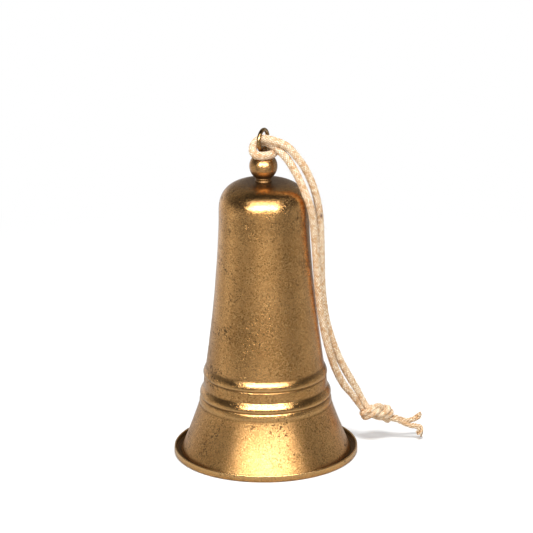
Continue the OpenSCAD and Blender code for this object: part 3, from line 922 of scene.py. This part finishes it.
def hanger():
    stud = threaded_rod(STUD_R, EYE_Z + EYE_R + 0.2, STUD_TOP, EYE_Z + EYE_R + 0.8, STUD_TOP - 0.1)
    eye = wire_ring(EYE_Z, EYE_R, EYE_WIRE, FORWARD_X)
    points, faces = joined([stud, eye])[:2]
    obj = new_object("hanger_eye_stud", points, faces, "root", STEEL)
    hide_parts("clapper_hanger")


def washer():
    low, high = WASHER_Z, WASHER_Z + WASHER_H
    profile = np.array([[STUD_R + 0.1, high], [WASHER_R, high], [WASHER_R, low], [STUD_R + 0.1, low]])
    points, faces = revolve(rounded(np.concatenate([profile, profile[:1]]), 0.08, 4)[:-1], 72, True)
    obj = new_object("washer_turned", points, faces, "root", STEEL)
    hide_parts("crown_washer")


def link():
    points, faces = wire_ring(LINK_Z, LINK_R, LINK_WIRE, FORWARD_Y)
    obj = new_object("link_wire", points, faces, "link", STEEL)
    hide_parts("clapper_link")


def clapper_rod():
    shoulder = STRIKE_Z + STRIKE_FLAT
    shaft = threaded_rod(ROD_R, ROD_END_Z, ROD_EYE_Z - ROD_EYE_R + 0.3, ROD_END_Z + 0.1, STRIKE_Z - STRIKE_FLAT + 2)
    eye = wire_ring(ROD_EYE_Z, ROD_EYE_R, ROD_EYE_WIRE, FORWARD_X)
    stop = np.array([[0, shoulder + 1], [1.7, shoulder + 1], [2, shoulder + 0.7], [2, shoulder + 0.3],
                     [1.8, shoulder + 0.05], [0, shoulder + 0.05]])
    points, faces = joined([shaft, eye, revolve(stop, 48, False)])[:2]
    obj = new_object("rod_wire", points, faces, "clapper", IRON)
    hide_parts("clapper_rod")


def striker():
    """The cast striking ball: flats at both ends, a parting seam round the middle."""
    tilt = math.degrees(math.asin(STRIKE_FLAT / STRIKE_R))
    ball = arc([0, 0], STRIKE_R, tilt, -tilt, 60)
    bore = ROD_R + 0.1
    profile = np.concatenate([[[bore, STRIKE_FLAT]], ball, [[bore, -STRIKE_FLAT]]]) + (0, STRIKE_Z)
    profile = rounded(profile, 0.3, 3)

    def cast(angle, z):
        seam = 0.1 * np.exp(-((z - STRIKE_Z) / 0.3) ** 2)
        uneven = 0.03 * np.sin(3 * angle + 1) * np.sin((z - STRIKE_Z) / 2.3) + 0.02 * np.sin(7 * angle + z)
        return (seam + uneven - 0.11) * (np.abs(z - STRIKE_Z) < STRIKE_FLAT - 0.4)

    points, faces = revolve(profile, 96, True, cast)
    obj = new_object("striker_cast", points, faces, "clapper", IRON)
    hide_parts("clapper_ball")


hanger()
washer()
hex_nut("nut_chamfered", NUT_FLATS, NUT_Z, WASHER_Z, STUD_R, "crown_nut", "root")
link()
clapper_rod()
striker()
strike_low = STRIKE_Z - STRIKE_FLAT
hex_nut("end_nut_chamfered", END_NUT_FLATS, strike_low - END_NUT_H, strike_low, ROD_R, "clapper_nut", "clapper")


# ---------------------------------------------------------------- floor, light, world
# brightness of the low surroundings at each bearing in degrees: 0 in front, 90 to the right, 180 behind
SURROUND = [
    (-180, 0.5), (-170, 0.58), (-150, 1.1), (-130, 1.0), (-110, 0.62), (-90, 1.02), (-70, 0.6), (-48, 0.42),
    (-26, 0.52), (-4, 0.86), (10, 0.84), (28, 0.6), (52, 0.3), (72, 0.38), (92, 0.62), (112, 0.48), (130, 0.56),
    (150, 0.24), (170, 0.27), (180, 0.4),
]
FLOOR_HALF, FLOOR_LIFT = 4.0, 0.12
NEAR_FLOOR_R, FAR_FLOOR_R = 0.22, 0.45
LIGHT_TARGET = Vector((0, 0, 0.1))


def surround(n, x, y):
    """The low surroundings' brightness, by bearing, from a direction's or a place's x and y."""
    turn = n.math("ARCTAN2", x, n.math("MULTIPLY", y, -1.0))
    ramp = n.add("ShaderNodeValToRGB", {"Fac": n.math("MULTIPLY_ADD", turn, 1 / TURN, 0.5)})
    ramp.color_ramp.interpolation = "EASE"
    while len(ramp.color_ramp.elements) < len(SURROUND):
        ramp.color_ramp.elements.new(0.5)
    for element, (bearing, value) in zip(ramp.color_ramp.elements, SURROUND):
        element.position = (bearing + 180) / 360
        element.color = (value, value, value, 1)
    return ramp.outputs[0]


def make_floor():
    """A pale floor that fades to the surroundings' brightness away from the bell; white to the camera."""
    corners = [(FLOOR_HALF * x, FLOOR_HALF * y, 0) for x, y in ((-1, -1), (1, -1), (1, 1), (-1, 1))]
    mesh = bpy.data.meshes.new("floor")
    mesh.from_pydata(corners, [], [(0, 1, 2, 3)])
    obj = bpy.data.objects.new("floor", mesh)
    bpy.context.scene.collection.objects.link(obj)
    material = bpy.data.materials.new("floor")
    material.use_nodes = True
    tree = material.node_tree
    tree.nodes.clear()
    n = Nodes(tree)
    seen = n.add("ShaderNodeLightPath").outputs["Is Camera Ray"]
    where = n.add("ShaderNodeTexCoord").outputs["Object"]
    xyz = n.add("ShaderNodeSeparateXYZ", {0: where}).outputs
    away = n.add("ShaderNodeVectorMath", {0: where}, operation="LENGTH").outputs["Value"]
    near = n.add("ShaderNodeBsdfDiffuse", {"Color": n.mix(seen, rgb(0.46, 0.46, 0.46), rgb(0.8, 0.8, 0.8))})
    lift = n.add("ShaderNodeEmission", {"Color": rgb(1, 1, 1), "Strength": n.math("MULTIPLY", seen, FLOOR_LIFT)})
    near = n.add("ShaderNodeAddShader", {0: near.outputs[0], 1: lift.outputs[0]})
    glow = n.mix(seen, surround(n, xyz[0], xyz[1]), rgb(1, 1, 1))
    far = n.add("ShaderNodeEmission", {"Color": glow, "Strength": 1.0})
    fade = n.ramp(away, NEAR_FLOOR_R, FAR_FLOOR_R)
    blend = n.add("ShaderNodeMixShader", {0: fade, 1: near.outputs[0], 2: far.outputs[0]})
    out = n.add("ShaderNodeOutputMaterial")
    tree.links.new(blend.outputs[0], out.inputs[0])
    mesh.materials.append(material)


def make_softbox(name, radiance, width, height, elevation, azimuth, distance, gloss):
    """An area light that only glossy surfaces see, or only dull ones."""
    data = bpy.data.lights.new(name, "AREA")
    data.shape = "RECTANGLE"
    data.size, data.size_y = width, height
    data.energy = radiance * math.pi * width * height
    light = bpy.data.objects.new(name, data)
    bpy.context.scene.collection.objects.link(light)
    elevation, azimuth = math.radians(elevation), math.radians(azimuth)
    level = math.cos(elevation)
    out = Vector((math.sin(azimuth) * level, -math.cos(azimuth) * level, math.sin(elevation)))
    light.location = LIGHT_TARGET + distance * out
    light.rotation_mode = "QUATERNION"
    light.rotation_quaternion = (-out).to_track_quat("-Z", "Y")
    light.visible_camera = False
    light.visible_diffuse = not gloss
    light.visible_glossy = gloss


def make_world():
    """A studio: pale behind, dim above, uneven near the horizon; plain white to the camera."""
    world = bpy.data.worlds.new("studio")
    bpy.context.scene.world = world
    world.use_nodes = True
    tree = world.node_tree
    tree.nodes.clear()
    n = Nodes(tree)
    path = n.add("ShaderNodeLightPath").outputs
    way = n.add("ShaderNodeTexCoord").outputs["Generated"]
    xyz = n.add("ShaderNodeSeparateXYZ", {0: way}).outputs
    behind = n.ramp(xyz[1], 0.1, 0.5)
    high = n.mix(behind, rgb(0.1, 0.1, 0.1), rgb(0.3, 0.3, 0.3))
    high = n.mix(n.ramp(xyz[2], 0.75, 0.95), high, rgb(0.05, 0.05, 0.05))
    near = n.mix(n.ramp(xyz[2], 0.04, 0.3), surround(n, xyz[0], xyz[1]), high)
    soft = n.mix(path["Is Diffuse Ray"], near, rgb(0.6, 0.6, 0.6))
    seen = n.mix(path["Is Camera Ray"], soft, rgb(1.0, 1.0, 1.0))
    background = n.add("ShaderNodeBackground", {"Color": seen, "Strength": 1.0})
    out = n.add("ShaderNodeOutputWorld")
    tree.links.new(background.outputs[0], out.inputs[0])


make_floor()
# radiance, width, height, elevation and azimuth in degrees, distance, seen by glossy surfaces (or by dull ones)
make_softbox("softbox_gloss", 4.4, 1.02, 0.6, 46, 3, 0.85, True)
make_softbox("softbox_low", 19.0, 1.15, 0.22, 32, 1, 0.85, True)
make_softbox("softbox_top", 35.0, 0.46, 0.46, 62, 4, 1.6, False)
make_softbox("softbox_front", 1.15, 1.4, 0.9, 18, -6, 1.0, False)
make_world()
bpy.context.scene.view_settings.view_transform = "Standard"
